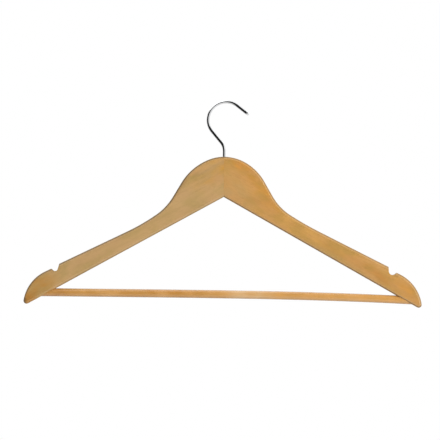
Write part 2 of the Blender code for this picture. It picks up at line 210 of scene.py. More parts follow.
def lacqueredWood(name, look):
    material, tree, shader = newMaterial(name)
    place = addNode(tree, "ShaderNodeTexCoord", {})
    turned = addNode(tree, "ShaderNodeMapping", {
        "Scale": (1 / mm, 1 / mm, 1 / mm), "Rotation": (0, math.radians(look["grainTurn"]), 0),
        "Location": look["plank"]}, {"Vector": place.outputs["Object"]})

    def grain(pattern):          # noise stretched along the grain
        across = 1 / pattern["across"]
        stretched = addNode(tree, "ShaderNodeMapping", {
            "Scale": (1 / pattern["along"], across, across), "Location": (pattern["shift"],) * 3},
            {"Vector": turned.outputs["Vector"]})
        noise = addNode(tree, "ShaderNodeTexNoise", {"Scale": 1, "Detail": pattern["detail"]},
                        {"Vector": stretched.outputs["Vector"]})
        low, high = pattern["range"]
        ranged = addNode(tree, "ShaderNodeMapRange", {"From Min": low, "From Max": high},
                         {"Value": noise.outputs["Fac"]})
        return ranged.outputs["Result"]

    # In a colour mix, sockets 6 and 7 are the colour below and the one on top, and output 2 is the result.
    def tint(under, colour, depth, share):
        amount = addNode(tree, "ShaderNodeMath", {"operation": "MULTIPLY", 1: depth}, {0: share})
        mixed = addNode(tree, "ShaderNodeMix", {"data_type": "RGBA", 7: hexColour(colour)},
                        {0: amount.outputs[0], 6: under})
        return mixed.outputs[2]

    def softSpot(x, z, halfLength, halfWidth, turn):          # an oval that fades outwards
        oval = addNode(tree, "ShaderNodeMapping", {
            "vector_type": "TEXTURE",
            "Location": (x * mm, 0, z * mm), "Rotation": (0, math.radians(turn), 0),
            "Scale": (halfLength * mm, woodSpot["through"] * mm, halfWidth * mm)},
            {"Vector": place.outputs["Object"]})
        fading = addNode(tree, "ShaderNodeTexGradient", {"gradient_type": "SPHERICAL"},
                         {"Vector": oval.outputs["Vector"]})
        smooth = addNode(tree, "ShaderNodeMapRange", {
            "interpolation_type": "SMOOTHSTEP", "From Max": woodSpot["fullFrom"]},
            {"Value": fading.outputs["Fac"]})
        return smooth.outputs["Result"]

    even = addNode(tree, "ShaderNodeRGB", {})
    even.outputs[0].default_value = hexColour(look["tan"])
    colour = even.outputs[0]
    for spotColour, depth, *oval in look["spots"]:
        colour = tint(colour, spotColour, depth, softSpot(*oval))
    shares = {}
    for kind, pattern in grainPatterns.items():
        shares[kind] = grain(pattern)
        colour = tint(colour, look[pattern["tone"]], look[kind + "Depth"], shares[kind])

    turn = math.radians(look["grainTurn"])
    alongGrain = addNode(tree, "ShaderNodeVectorMath", {
        "operation": "DOT_PRODUCT", 1: (math.cos(turn), 0, math.sin(turn))}, {0: place.outputs["Normal"]})
    endOn = addNode(tree, "ShaderNodeMath", {"operation": "ABSOLUTE"}, {0: alongGrain.outputs["Value"]})
    outward = addNode(tree, "ShaderNodeSeparateXYZ", {}, {0: place.outputs["Normal"]})
    flatness = addNode(tree, "ShaderNodeMath", {"operation": "ABSOLUTE"}, {0: outward.outputs["Y"]})
    for kind, facing in (("endGrain", endOn), ("rimHighlight", flatness), ("rounded", flatness),
                         ("curved", flatness)):
        start, full = edgeChanges[kind]
        change = addNode(tree, "ShaderNodeMapRange", {"From Min": start, "From Max": full},
                         {"Value": facing.outputs[0]})
        shares[kind] = change.outputs["Result"]
    colour = tint(colour, look["endGrain"], look["endDepth"], shares["endGrain"])
    # Painted highlight: a pale line on the rim just outside each flat face.
    colour = tint(colour, look["rimHighlight"], look["rimHighlightDepth"], shares["rimHighlight"])

    # Painted shade darkens the rounded edge, for the light that falls off there, and is left off again in
    # places.
    paintedRimShade = addNode(tree, "ShaderNodeMath", {"operation": "MULTIPLY"},
                        {0: shares["rounded"], 1: shares["curved"]})
    for patch in look["rimShadeLeftOff"]:
        kept = addNode(tree, "ShaderNodeMath", {"operation": "SUBTRACT", 0: 1}, {1: softSpot(*patch)})
        paintedRimShade = addNode(tree, "ShaderNodeMath", {"operation": "MULTIPLY"},
                            {0: paintedRimShade.outputs[0], 1: kept.outputs[0]})
    start, full = edgeChanges["upward"]
    upward = addNode(tree, "ShaderNodeMapRange", {
        "From Min": start, "From Max": full, "To Min": look["underRimShadeShare"], "To Max": 1},
        {"Value": outward.outputs["Z"]})
    rim = addNode(tree, "ShaderNodeMath", {"operation": "MULTIPLY"},
                  {0: paintedRimShade.outputs[0], 1: upward.outputs["Result"]})
    # Painted shade on the rounded edge, in the end grain's dark colour.
    colour = tint(colour, look["endGrain"], look["rimShadeDepth"], rim.outputs[0])
    tree.links.new(colour, shader.inputs["Base Color"])

    smoothest, roughest = lacquer["woodRoughness"]
    sheen = addNode(tree, "ShaderNodeMapRange", {"To Min": smoothest, "To Max": roughest},
                    {"Value": shares["fibre"]})
    tree.links.new(sheen.outputs["Result"], shader.inputs["Roughness"])
    relief = addNode(tree, "ShaderNodeMath", {"operation": "SUBTRACT"},
                     {0: shares["fibre"], 1: shares["pore"]})
    bump = addNode(tree, "ShaderNodeBump", {
        "Strength": lacquer["relief"], "Distance": lacquer["reliefHeight"] * mm},
        {"Height": relief.outputs[0]})
    tree.links.new(bump.outputs["Normal"], shader.inputs["Normal"])
    shader.inputs["Specular IOR Level"].default_value = lacquer["woodSpecular"]
    shader.inputs["IOR"].default_value = lacquer["woodIor"]
    coat = addNode(tree, "ShaderNodeMapRange", {"To Min": 1, "To Max": look["rimLacquer"]},
                   {"Value": shares["rounded"]})
    tree.links.new(coat.outputs["Result"], shader.inputs["Coat Weight"])
    shader.inputs["Coat Roughness"].default_value = lacquer["roughness"]
    shader.inputs["Coat IOR"].default_value = lacquer["ior"]
    return material


# In each look, a depth is how strongly its tone is laid on, the under-rim share how much of the rounded
# edge's painted shade is left on the underside, and rimLacquer the share of the lacquer left on a rounded
# edge.
# A spot is a colour, its depth, its middle in x and z, its half length and half width in mm, and how
# many degrees it falls to the right. A place where the painted rim shade is left off is the same without
# the colour and the depth.
leftWood = lacqueredWood("tanHardwoodLacquered", {
    "grainTurn": 27.5,       # degrees
    "plank": (310, 40, 0),   # mm, where in the plank the board was sawn
    "tan": "#C09B68",
    "olive": "#AC9155", "oliveDepth": 0.55,
    "rose": "#C59B6C", "roseDepth": 0.55,
    "pale": "#C9A56E", "cloudDepth": 0.3, "fibreDepth": 0.18,
    "late": "#A5834F", "streakDepth": 0.2, "bandDepth": 0.15,
    "pore": "#7A5C38", "poreDepth": 0.15,
    "rimHighlight": "#D8BE96", "rimHighlightDepth": 0.08,
    "endGrain": "#6A5024", "endDepth": 0.5, "rimShadeDepth": 0.75,
    "underRimShadeShare": 0.4, "rimLacquer": 0.1,
    "spots": [
        ("#CB933A", 1, 0, -46, 80, 72, 0),          # richer towards the crest of the hump
        ("#A08046", 0.8, -23, -75.5, 26, 4.5, -31),
        ("#D89C46", 0.8, -16, -69.5, 20, 4, -29),
        ("#C49A70", 0.5, -4, -86, 14, 12, 0),
        # painted shade along the hump's left flank
        ("#8A6A30", 0.6, -47, -91, 22, 5, -58),
        ("#B4781E", 1, -214, -218, 48, 48, 0),          # richer towards the tip
        ("#AE7526", 0.9, -210, -217, 24, 9, -29),
        # painted shade in the arm's lower outer corner
        ("#5E4524", 0.8, -224, -223, 7, 7, 0),
        ("#6E5228", 0.5, -183.7, -183, 8, 2.8, 80),          # painted shade in the strap notch
    ],
    # the painted rim shade is left off along the tip's underside
    "rimShadeLeftOff": [(-204, -214, 42, 14, -29)],
})
rightWood = lacqueredWood("honeyHardwoodLacquered", {
    "grainTurn": -27.5,
    "plank": (-120, -25, 30),
    "tan": "#C5934B",
    "olive": "#AE8A45", "oliveDepth": 0.6,
    "rose": "#CB965B", "roseDepth": 0.6,
    "pale": "#CFA05C", "cloudDepth": 0.3, "fibreDepth": 0.18,
    "late": "#B07D3C", "streakDepth": 0.22, "bandDepth": 0.15,
    "pore": "#84592F", "poreDepth": 0.15,
    "rimHighlight": "#E0BA86", "rimHighlightDepth": 0.5,
    "endGrain": "#7A5628", "endDepth": 0.35, "rimShadeDepth": 0.56,
    "underRimShadeShare": 1, "rimLacquer": 0.1,
    "spots": [
        ("#BD9660", 1, 2, -106, 48, 42, 0),
        ("#CF9038", 1, 43, -84, 62, 26, 58),
        ("#D68C2C", 0.8, 21, -70, 30, 7, 34),          # orange inside the hump's edge
        ("#CF9C52", 1, 84, -139, 42, 22, 27),
        ("#BE8540", 1, 164, -187, 40, 12, 27),
        ("#A88C58", 0.8, 128, -177, 90, 11, 28),          # duller along the underside
        ("#D0903E", 0.6, 205, -205, 24, 12, 50),
        # painted shade in the arm's lower outer corner
        ("#6A5030", 0.8, 221, -227, 6, 6, 0),
        ("#6A4C28", 0.6, 193.8, -190.4, 4.2, 2.6, 27),          # painted shade at the notch's lips
        ("#6A4C28", 0.4, 181.8, -182.8, 5, 2.8, 27),
    ],
    "rimShadeLeftOff": [],
})
barWood = lacqueredWood("dowelHardwoodLacquered", {
    "grainTurn": 0.5,
    "plank": (77, 11, 205),
    "tan": "#D49A4F",
    "olive": "#C6924C", "oliveDepth": 0.5,
    "rose": "#D8A05E", "roseDepth": 0.5,
    "pale": "#DCAE6E", "cloudDepth": 0.25, "fibreDepth": 0.18,
    "late": "#BA863F", "streakDepth": 0.2, "bandDepth": 0.15,
    "pore": "#84592F", "poreDepth": 0.15,
    "rimHighlight": "#DDB580", "rimHighlightDepth": 0,
    "endGrain": "#96683A", "endDepth": 0.5, "rimShadeDepth": 0,
    "underRimShadeShare": 1, "rimLacquer": 1,
    "spots": [
        ("#BA7D29", 1, -125, -212, 190, 60, 0),          # deeper over its left half
        ("#DAB588", 1, 30, -212, 34, 60, 0),
        # painted shade where the bar goes into the left arm
        ("#A2640E", 1, -188, -212, 18, 60, 0),
    ],
    "rimShadeLeftOff": [],
})


# Bright chrome on drawn steel wire: electroplated over a polished nickel layer.
# It mirrors the white studio and the dark side of the room, hardly softened by a faint haze.
chromePlate = {
    "colour": "#DCDDDE",
    "hazeSize": 0.4,         # mm
    "roughness": (0.03, 0.07),
}


def chromedWire():
    material, tree, shader = newMaterial("chromePlatedWire")
    place = addNode(tree, "ShaderNodeTexCoord", {})
    perPatch = 1 / (chromePlate["hazeSize"] * mm)
    sized = addNode(tree, "ShaderNodeMapping", {"Scale": (perPatch,) * 3},
                    {"Vector": place.outputs["Object"]})
    haze = addNode(tree, "ShaderNodeTexNoise", {"Scale": 1, "Detail": 2},
                   {"Vector": sized.outputs["Vector"]})
    clearest, haziest = chromePlate["roughness"]
    softening = addNode(tree, "ShaderNodeMapRange", {"To Min": clearest, "To Max": haziest},
                        {"Value": haze.outputs["Fac"]})
    shader.inputs["Base Color"].default_value = hexColour(chromePlate["colour"])
    shader.inputs["Metallic"].default_value = 1
    tree.links.new(softening.outputs["Result"], shader.inputs["Roughness"])
    return material


# Zinc plate on pressed steel: barrel plated, so it is a dull blue grey with a faint crystal mottle.
zincPlate = {
    "dark": "#A4A8AC",
    "light": "#C0C3C6",
    "crystalSize": 0.5,      # mm
    "roughness": (0.3, 0.45),
}


def zincPlatedSteel():
    material, tree, shader = newMaterial("zincPlatedSteel")
    place = addNode(tree, "ShaderNodeTexCoord", {})
    perCrystal = 1 / (zincPlate["crystalSize"] * mm)
    sized = addNode(tree, "ShaderNodeMapping", {"Scale": (perCrystal,) * 3},
                    {"Vector": place.outputs["Object"]})
    crystals = addNode(tree, "ShaderNodeTexVoronoi", {"Scale": 1}, {"Vector": sized.outputs["Vector"]})
    tone = addNode(tree, "ShaderNodeMix", {
        "data_type": "RGBA", 6: hexColour(zincPlate["dark"]), 7: hexColour(zincPlate["light"])},
        {0: crystals.outputs["Distance"]})
    smoothest, roughest = zincPlate["roughness"]
    dull = addNode(tree, "ShaderNodeMapRange", {"To Min": smoothest, "To Max": roughest},
                   {"Value": crystals.outputs["Distance"]})
    shader.inputs["Metallic"].default_value = 1
    tree.links.new(tone.outputs[2], shader.inputs["Base Color"])
    tree.links.new(dull.outputs["Result"], shader.inputs["Roughness"])
    return material


chrome = chromedWire()
zinc = zincPlatedSteel()
print("materials made")


# Hook: one wire with its shank in the bore, a leaning throat, a loop and a straight end
hook = {
    "wire": 3.2,
    "sides": 40,             # facets round the wire
    "crownRadius": 20.3,     # of the wire's centre line
    "crownHeight": 86.2,     # centre of the loop above the point of the V
    "crownOffset": 1.9,      # centre of the loop right of the shank
    "throatLean": 40,        # degrees
    "bendRadius": 15,
    "tipHeading": 128,       # degrees from upright
    "tipLength": 12,         # up to where it narrows
    "tipNarrowing": 4.2,     # length of the bullet shape at the end
    "tipTurn": 84,           # degrees that its side turns through, down to a tenth of the wire's width
    "tipSteps": 8,
    "headDiameter": 5.2,     # upset end under the washer
    "headTop": 4.6,
    "headThickness": 1.8,
    "headRounding": 0.5,
}
crownInside = hook["crownRadius"] - hook["wire"] / 2

# The rail touches the inside of the loop straight above the shank, and that is height 0 in the frame.
seatHeight = hook["crownHeight"] + math.sqrt(crownInside ** 2 - hook["crownOffset"] ** 2)


def makeHook():
    bm = bmesh.new()
    bottom = hook["headTop"] - hook["headThickness"]
    bmesh.ops.create_circle(bm, segments=hook["sides"], radius=hook["headDiameter"] / 2,
                            matrix=Matrix.Translation((0, 0, bottom)))
    ring = bm.edges[:]
    footRim = ring

    def grow(ring, move, scale=1):          # carries the open end of the wire on in a straight line
        grown = bmesh.ops.extrude_edge_only(bm, edges=ring)["geom"]
        verts = vertsOf(grown)
        middle = sum((vert.co for vert in verts), Vector()) / len(verts)
        bmesh.ops.scale(bm, verts=verts, vec=(scale,) * 3, space=Matrix.Translation(-middle))
        bmesh.ops.translate(bm, verts=verts, vec=move)
        return [edge for edge in edgesOf(grown) if edge.verts[0] in verts and edge.verts[1] in verts]

    def bend(ring, centre, degrees, radius):
        verts = list(dict.fromkeys(vert for edge in ring for vert in edge.verts))
        turned = bmesh.ops.spin(bm, geom=verts + ring, cent=centre, axis=(0, 1, 0),
                                angle=math.radians(degrees), steps=arcSteps(radius, degrees))
        return edgesOf(turned["geom_last"])

    crown = Vector((hook["crownOffset"], 0, hook["crownHeight"]))
    throat = heading(-hook["throatLean"])
    loopStart = crown + heading(-hook["throatLean"] - 90) * hook["crownRadius"]
    knee = loopStart.z - loopStart.x * throat.z / throat.x
    bendStart = knee - hook["bendRadius"] * math.tan(math.radians(hook["throatLean"] / 2))
    bendCentre = Vector((-hook["bendRadius"], 0, bendStart))

    ring = grow(ring, Vector((0, 0, hook["headThickness"])))
    headRim = ring
    ring = grow(ring, Vector(), hook["wire"] / hook["headDiameter"])
    ring = grow(ring, Vector((0, 0, bendStart - hook["headTop"])))
    ring = bend(ring, bendCentre, -hook["throatLean"], hook["bendRadius"])
    here = sum((vert.co for edge in ring for vert in edge.verts), Vector()) / (2 * len(ring))
    ring = grow(ring, loopStart - here)
    ring = bend(ring, crown, hook["tipHeading"] + hook["throatLean"], hook["crownRadius"])
    tipWay = heading(hook["tipHeading"])
    ring = grow(ring, tipWay * hook["tipLength"])
    for step in range(hook["tipSteps"]):
        near = math.radians(hook["tipTurn"] * step / hook["tipSteps"])
        far = math.radians(hook["tipTurn"] * (step + 1) / hook["tipSteps"])
        ring = grow(ring, tipWay * hook["tipNarrowing"] * (math.sin(far) - math.sin(near)),
                    math.cos(far) / math.cos(near))
    for rim in (footRim, ring):
        bmesh.ops.edgeloop_fill(bm, edges=rim)
    bmesh.ops.bevel(bm, geom=footRim + headRim, offset=hook["headRounding"], segments=3, profile=0.5,
                    affect="EDGES", material=-1)
    bmesh.ops.recalc_face_normals(bm, faces=bm.faces)
    return newObject("hookWire", bm)


placePiece(makeHook(), "hook", "hook", chrome, sharpFrom=50)


# Washer under the wood, in its counterbore
washer = {
    "inside": 1.85,          # radii
    "outside": 3.4,
    "top": 5.8,              # above the point of the V
    "thickness": 0.9,
    "rounding": 0.12,
    "sides": 64,
    "corner": 60,            # degrees, edges that turn by more than this are rounded
}


def makeWasher():
    bm = bmesh.new()
    inside, outside, top = washer["inside"], washer["outside"], washer["top"]
    low = top - washer["thickness"]
    first = bmesh.ops.create_vert(bm, co=(inside, 0, low))["vert"][0]
    last = first
    for x, z in ((outside, low), (outside, top), (inside, top)):
        last = lineTo(bm, last, (x, 0, z))
    bm.edges.new((last, first))
    bmesh.ops.spin(bm, geom=bm.verts[:] + bm.edges[:], cent=(0, 0, 0), axis=(0, 0, 1),
                   angle=math.radians(360), steps=washer["sides"], use_merge=True)
    bmesh.ops.recalc_face_normals(bm, faces=bm.faces)
    rims = [edge for edge in bm.edges if edge.calc_face_angle(0) > math.radians(washer["corner"])]
    bmesh.ops.bevel(bm, geom=rims, offset=washer["rounding"], segments=2, profile=0.5, affect="EDGES",
                    material=-1)
    return newObject("hookWasher", bm)


placePiece(makeWasher(), "wooden_body", "hook_washer", zinc)


# Boards of the two arms, whose outlines are measured from the point of the V
board = {
    "halfSpan": 223.1,       # centre to the outer curve of an arm's end
    "thickness": 12,
    "humpTop": 45,
    "roundOver": 3,          # radius of the long edges
    "roundSteps": 9,
    "undersideSlope": 29.1,  # degrees
    "cornerRadius": 3.4,     # at the lowest point of an arm
    "stepReach": 1,          # the tip's step down runs this far to each side of the notch's middle
}
leftShape = {                # the two boards were shaped apart, and the left one came out slimmer
    "shoulderSlope": 26,     # degrees, of the straight upper edge
    "shoulderRise": 12.77,   # height at which that edge's line crosses the middle
    "humpRadius": 43.8,
    "humpTurn": 19.8,        # degrees, where the top of the hump runs into its wider side
    "haunchRadius": 62.4,    # of that wider side
    "flankSlope": 59.5,      # degrees, of the steep straight beside the hump
    "neckRadius": 66,        # of the hollow between the hump and the shoulder
    "neckEndSlope": 35.4,    # degrees, where the hollow runs into the shoulder's wide curve
    "shoulderRadius": 228,
    "tipRadius": 43,
    "tipStep": 1.2,          # the edge outside the strap notch is this much lower
    "notchX": 188.1,
    "notchDepth": 5.9,       # below the shoulder's line
    "notchRadius": 3.7,
    "notchTilt": 15,         # degrees that the notch's inner wall leans towards the middle
}
rightShape = {
    "shoulderSlope": 26.3,
    "shoulderRise": 15.3,
    "humpRadius": 48.9,
    "humpTurn": 29.3,
    "haunchRadius": 56.6,
    "flankSlope": 59.9,
    "neckRadius": 60,
    "neckEndSlope": 32.1,
    "shoulderRadius": 367,
    "tipRadius": 44.4,
    "tipStep": 1.9,
    "notchX": 190,
    "notchDepth": 6.7,
    "notchRadius": 4.7,
    "notchTilt": 3,
}
half = board["thickness"] / 2


def shoulderPoint(shape, x, drop=0):
    fall = math.tan(math.radians(shape["shoulderSlope"]))
    return Vector((x, -half, shape["shoulderRise"] - drop - x * fall))


def makeBoard(name, shape):          # both halves in one arm's shape, of which the joint takes one away
    bm = bmesh.new()
    up = heading(0)
    humpSide = heading(shape["humpTurn"])
    flankSide = heading(shape["flankSlope"])
    neckEnd = heading(shape["neckEndSlope"])
    shoulder = heading(shape["shoulderSlope"])
    pen = bmesh.ops.create_vert(bm, co=(0, -half, board["humpTop"]))["vert"][0]
    pen = arcTo(bm, pen, pen.co - up * shape["humpRadius"], shape["humpTurn"])
    pen = arcTo(bm, pen, pen.co - humpSide * shape["haunchRadius"], shape["flankSlope"] - shape["humpTurn"])

    # The steep straight beside the hump is as long as it takes to end on the shoulder line.
    down = heading(shape["flankSlope"] + 90)
    shortEnd = (pen.co + (flankSide - neckEnd) * shape["neckRadius"]
                + (neckEnd - shoulder) * shape["shoulderRadius"])
    fall = math.tan(math.radians(shape["shoulderSlope"]))
    flank = (shoulderPoint(shape, shortEnd.x).z - shortEnd.z) / (down.z + fall * down.x)
    pen = lineTo(bm, pen, pen.co + down * flank)
    pen = arcTo(bm, pen, pen.co + flankSide * shape["neckRadius"],
                shape["neckEndSlope"] - shape["flankSlope"])
    pen = arcTo(bm, pen, pen.co + neckEnd * shape["shoulderRadius"],
                shape["shoulderSlope"] - shape["neckEndSlope"])

    # The notch takes away the place where the edge steps down.
    pen = lineTo(bm, pen, shoulderPoint(shape, shape["notchX"] - board["stepReach"]))
    pen = lineTo(bm, pen, shoulderPoint(shape, shape["notchX"] + board["stepReach"], shape["tipStep"]))
    tipTop = shoulderPoint(shape, board["halfSpan"] - shape["tipRadius"], shape["tipStep"])
    tipCentre = tipTop - up * (shape["tipRadius"] / math.cos(math.radians(shape["shoulderSlope"])))
    pen = lineTo(bm, pen, tipCentre + shoulder * shape["tipRadius"])

    # The corner lies inside both the outer curve and the underside.
    front = Vector((0, -half, 0))
    outward = heading(board["undersideSlope"] + 90)
    lift = heading(board["undersideSlope"]) * board["cornerRadius"] + front
    fromTip = lift - tipCentre
    along = fromTip.dot(outward)
    reach = shape["tipRadius"] - board["cornerRadius"]
    corner = lift + outward * (math.sqrt(along ** 2 - fromTip.length_squared + reach ** 2) - along)
    meeting = math.degrees(math.atan2(corner.x - tipCentre.x, corner.z - tipCentre.z))
    pen = arcTo(bm, pen, tipCentre, meeting - shape["shoulderSlope"])
    pen = arcTo(bm, pen, corner, board["undersideSlope"] + 180 - meeting)
    lineTo(bm, pen, front)

    bmesh.ops.mirror(bm, geom=bm.verts[:] + bm.edges[:], axis="X", merge_dist=weldWithin)
    bmesh.ops.remove_doubles(bm, verts=bm.verts, dist=weldWithin)
    fillAndExtrude(bm, (0, board["thickness"], 0))
    rims = [edge for edge in bm.edges if abs(edge.verts[0].co.y - edge.verts[1].co.y) < half]
    bmesh.ops.bevel(bm, geom=rims, offset=board["roundOver"], segments=board["roundSteps"], profile=0.5,
                    affect="EDGES", clamp_overlap=False, material=-1)
    return newObject(name, bm)


# Comb joint between the arms
comb = {
    "fingers": 4,
    "reach": 5,              # each way from the seam
    "tip": 0.8,              # width of a finger's blunt end
    "shoulder": 0.6,         # straight seam at each face
    "glueLine": 0.05,
}


def otherHalf(side):          # everything beyond the comb joint, seen from the arm on this side
    shift = side * comb["glueLine"] / 2
    toothed = half - comb["shoulder"]
    width = 2 * toothed / comb["fingers"]
    flats = [(0, -half - past), (0, -toothed)]
    for finger in range(comb["fingers"]):
        reach = comb["reach"] if finger % 2 == 0 else -comb["reach"]
        middle = -toothed + (finger + 0.5) * width
        flats += [(reach, middle - comb["tip"] / 2), (reach, middle + comb["tip"] / 2)]
    flats += [(0, toothed), (0, half + past)]
    bm = bmesh.new()
    low = -board["halfSpan"]
    first = bmesh.ops.create_vert(bm, co=(flats[0][0] + shift, flats[0][1], low))["vert"][0]
    pen = first
    for x, y in flats[1:]:
        pen = lineTo(bm, pen, (x + shift, y, low))
    far = -side * (board["halfSpan"] + past)
    pen = lineTo(bm, pen, (far, half + past, low))
    pen = lineTo(bm, pen, (far, -half - past, low))
    bm.edges.new((pen, first))
    fillAndExtrude(bm, (0, 0, board["halfSpan"] + board["humpTop"] + past))
    return newObject("beyondTheJoint", bm)


# Strap notches
notch = {
    "outerLip": 1.3,         # radii of the lips, whose arcs cross the board's edge by the skim
    "innerLip": 0.5,
    "skim": 0.02,
    "softEdge": 0.25,        # sanded rim
    "rimAngle": 28,          # degrees, edges that turn by more than this are sanded
    "reach": 9,              # edges this near the middle of the notch and this far above the bar
    "aboveBar": 20,          # belong to it
    "sliver": 0.16,          # edges shorter than this are scraps of the cut
    "weld": 0.01,            # and shorter than this, scraps of the sanding
}


def strapNotch(side, shape):
    bm = bmesh.new()
    bottom = shoulderPoint(shape, shape["notchX"], shape["notchDepth"])
    bottom.y = -half - past
    centre = bottom + Vector((0, 0, shape["notchRadius"]))
    away = heading(shape["shoulderSlope"])
    outward = heading(shape["shoulderSlope"] + 90)
    lower = shoulderPoint(shape, shape["notchX"], shape["tipStep"]) - centre
    lower.y = 0
    reach = shape["notchRadius"] + notch["outerLip"]
    drop = lower.dot(away) - notch["outerLip"] + notch["skim"]
    fromCentre = away * drop + outward * math.sqrt(reach ** 2 - drop ** 2)
    meeting = math.degrees(math.atan2(fromCentre.x, fromCentre.z))          # where lip and bottom meet
    outerLip = centre + fromCentre

    wall = heading(-shape["notchTilt"])
    inward = heading(-90 - shape["notchTilt"])
    foot = inward * (shape["notchRadius"] + notch["innerLip"])
    upper = shoulderPoint(shape, shape["notchX"]) - centre
    upper.y = 0
    climb = ((upper - foot).dot(away) - notch["innerLip"] + notch["skim"]) / wall.dot(away)
    innerLip = centre + foot + wall * climb

    first = bmesh.ops.create_vert(bm, co=outerLip + away * notch["outerLip"])["vert"][0]
    last = arcTo(bm, first, outerLip, meeting - 180 - shape["shoulderSlope"])
    last = arcTo(bm, last, centre, 270 - shape["notchTilt"] - meeting)
    last = lineTo(bm, last, innerLip - inward * notch["innerLip"])
    last = arcTo(bm, last, innerLip, shape["shoulderSlope"] + shape["notchTilt"] - 90)
    last = lineTo(bm, last, last.co + Vector((0, 0, past)))
    last = lineTo(bm, last, (first.co.x, last.co.y, last.co.z))
    bm.edges.new((last, first))
    bmesh.ops.scale(bm, vec=(side, 1, 1), verts=bm.verts)
    fillAndExtrude(bm, (0, 2 * (half + past), 0))
    return newObject("strapNotch", bm)


def softenNotch(piece, side, shape):          # the sanded rim where the notch breaks through the board
    bm = bmesh.new()
    bm.from_mesh(piece.data)
    lowest = barDroop(side * shape["notchX"]) + notch["aboveBar"]

    def nearEdges():
        middles = [(edge, (edge.verts[0].co + edge.verts[1].co) / 2) for edge in bm.edges]
        return [edge for edge, middle in middles
                if abs(side * middle.x - shape["notchX"]) < notch["reach"] and middle.z > lowest]

    bmesh.ops.dissolve_degenerate(bm, dist=notch["sliver"], edges=nearEdges())
    rims = [edge for edge in nearEdges() if edge.calc_face_angle(0) > math.radians(notch["rimAngle"])]
    bmesh.ops.bevel(bm, geom=rims, offset=notch["softEdge"], segments=2, profile=0.5, affect="EDGES",
                    clamp_overlap=False, material=-1)
    bmesh.ops.dissolve_degenerate(bm, dist=notch["weld"], edges=nearEdges())
    bm.to_mesh(piece.data)
    bm.free()


# Trouser bar and its sockets
bar = {
    "radius": 4.5,
    "halfLength": 214.5,
    "depth": 108.6,          # axis below the point of the V, at its left end
    "droop": 5,              # and so much lower at its right end
    "power": 4,              # of the distance from its left end, by which the droop grows
    "chamfer": 0.6,
    "clearance": 0.05,       # in its sockets
    "sides": 64,
    "cuts": 47,              # across it, so that it can bend
}


def barDroop(x):          # height of the bar's axis
    share = (x + bar["halfLength"]) / (2 * bar["halfLength"])
    return -bar["depth"] - bar["droop"] * share ** bar["power"]


def dowel(radius, length):          # round bar along X, cut across so that it can bend
    bm = rod(radius, Vector((-length, 0, 0)), Vector((length, 0, 0)), bar["sides"])
    runs = [edge for edge in bm.edges if abs(edge.verts[0].co.x - edge.verts[1].co.x) > length]
    bmesh.ops.subdivide_edges(bm, edges=runs, cuts=bar["cuts"], use_grid_fill=True)
    return bm


def bendDown(bm):
    for vert in bm.verts:
        vert.co.z += barDroop(vert.co.x)


def makeBar():
    bm = dowel(bar["radius"], bar["halfLength"])
    endSum = 2 * bar["halfLength"] - weldWithin          # of both x of an edge that lies in an end
    rims = [edge for edge in bm.edges if abs(edge.verts[0].co.x + edge.verts[1].co.x) > endSum]
    bmesh.ops.bevel(bm, geom=rims, offset=bar["chamfer"], segments=3, profile=0.5, affect="EDGES",
                    material=-1)
    bendDown(bm)
    return newObject("trouserBar", bm)


def barSockets():
    bm = dowel(bar["radius"] + bar["clearance"], bar["halfLength"] + bar["clearance"])
    bendDown(bm)
    return newObject("barSockets", bm)


# Brads from the back, which pin the bar in its sockets
brad = {
    "x": 210.5,              # from the middle
    "rise": 1.5,             # above the bar's axis
    "radius": 0.6,
    "headRadius": 0.9,
    "head": 0.5,             # thickness of its head
    "headTaper": 0.3,        # cone under the head
    "headChamfer": 0.12,
    "length": 6.6,
    "pointLength": 2,        # in radii
    "pointWidth": 0.25,      # share of the brad's own width
    "sink": 0.4,             # of its head below the board's back
    "clearance": 0.1,
    "sides": 48,
}


def bradPlace(side):
    x = side * brad["x"]
    return Vector((x, 0, barDroop(x) + brad["rise"]))


def bradHole(side, radius, start):          # from start, measured from the board's middle, out of its back
    at = bradPlace(side)
    back = Vector((0, half + past, 0))
    return newObject("bradHole", rod(radius, at + Vector((0, start, 0)), at + back, brad["sides"]))


def makeBrad(name, side):
    bm = bmesh.new()
    top = half - brad["sink"]
    under = top - brad["head"]
    point = top - brad["length"]
    profile = (
        (brad["radius"] * brad["pointWidth"], point),
        (brad["radius"], point + brad["radius"] * brad["pointLength"]),
        (brad["radius"], under - brad["headTaper"]),
        (brad["headRadius"], under),
        (brad["headRadius"], top - brad["headChamfer"]),
        (brad["headRadius"] - brad["headChamfer"], top),
        (0, top),
    )
    at = bradPlace(side)
    pen = bmesh.ops.create_vert(bm, co=at + Vector((0, point, 0)))["vert"][0]
    for radius, y in profile:
        pen = lineTo(bm, pen, at + Vector((radius, y, 0)))
    bmesh.ops.spin(bm, geom=bm.verts[:] + bm.edges[:], cent=at, axis=(0, 1, 0),
                   angle=math.radians(360), steps=brad["sides"], use_merge=True)
    bmesh.ops.remove_doubles(bm, verts=bm.verts, dist=weldWithin)
    bmesh.ops.recalc_face_normals(bm, faces=bm.faces)
    return newObject(name, bm)


# Each arm: a board with all that is cut from it
bore = {                     # for the hook's shank, up through the joint
    "clearance": 0.15,
    "start": 3,              # above the point of the V, inside the counterbore
    "sides": 64,
}
counterbore = {              # for the washer, up from the point of the V
    "clearance": 0.2,
    "top": 6,
}


def makeArm(name, side, shape):
    piece = makeBoard(name, shape)
    shankBore = rod(hook["wire"] / 2 + bore["clearance"], Vector((0, 0, bore["start"])),
                    Vector((0, 0, board["humpTop"] + past)), bore["sides"])
    washerSeat = rod(washer["outside"] + counterbore["clearance"], Vector((0, 0, -past)),
                     Vector((0, 0, counterbore["top"])), washer["sides"])
    cutAway(piece, [otherHalf(side), newObject("shankBore", shankBore), newObject("washerSeat", washerSeat),
                    barSockets(), strapNotch(side, shape),
                    bradHole(side, brad["headRadius"] + brad["clearance"], 0)])
    softenNotch(piece, side, shape)
    return piece


placePiece(makeArm("leftArm", -1, leftShape), "wooden_body", "left_arm", leftWood)
placePiece(makeArm("rightArm", 1, rightShape), "wooden_body", "right_arm", rightWood)

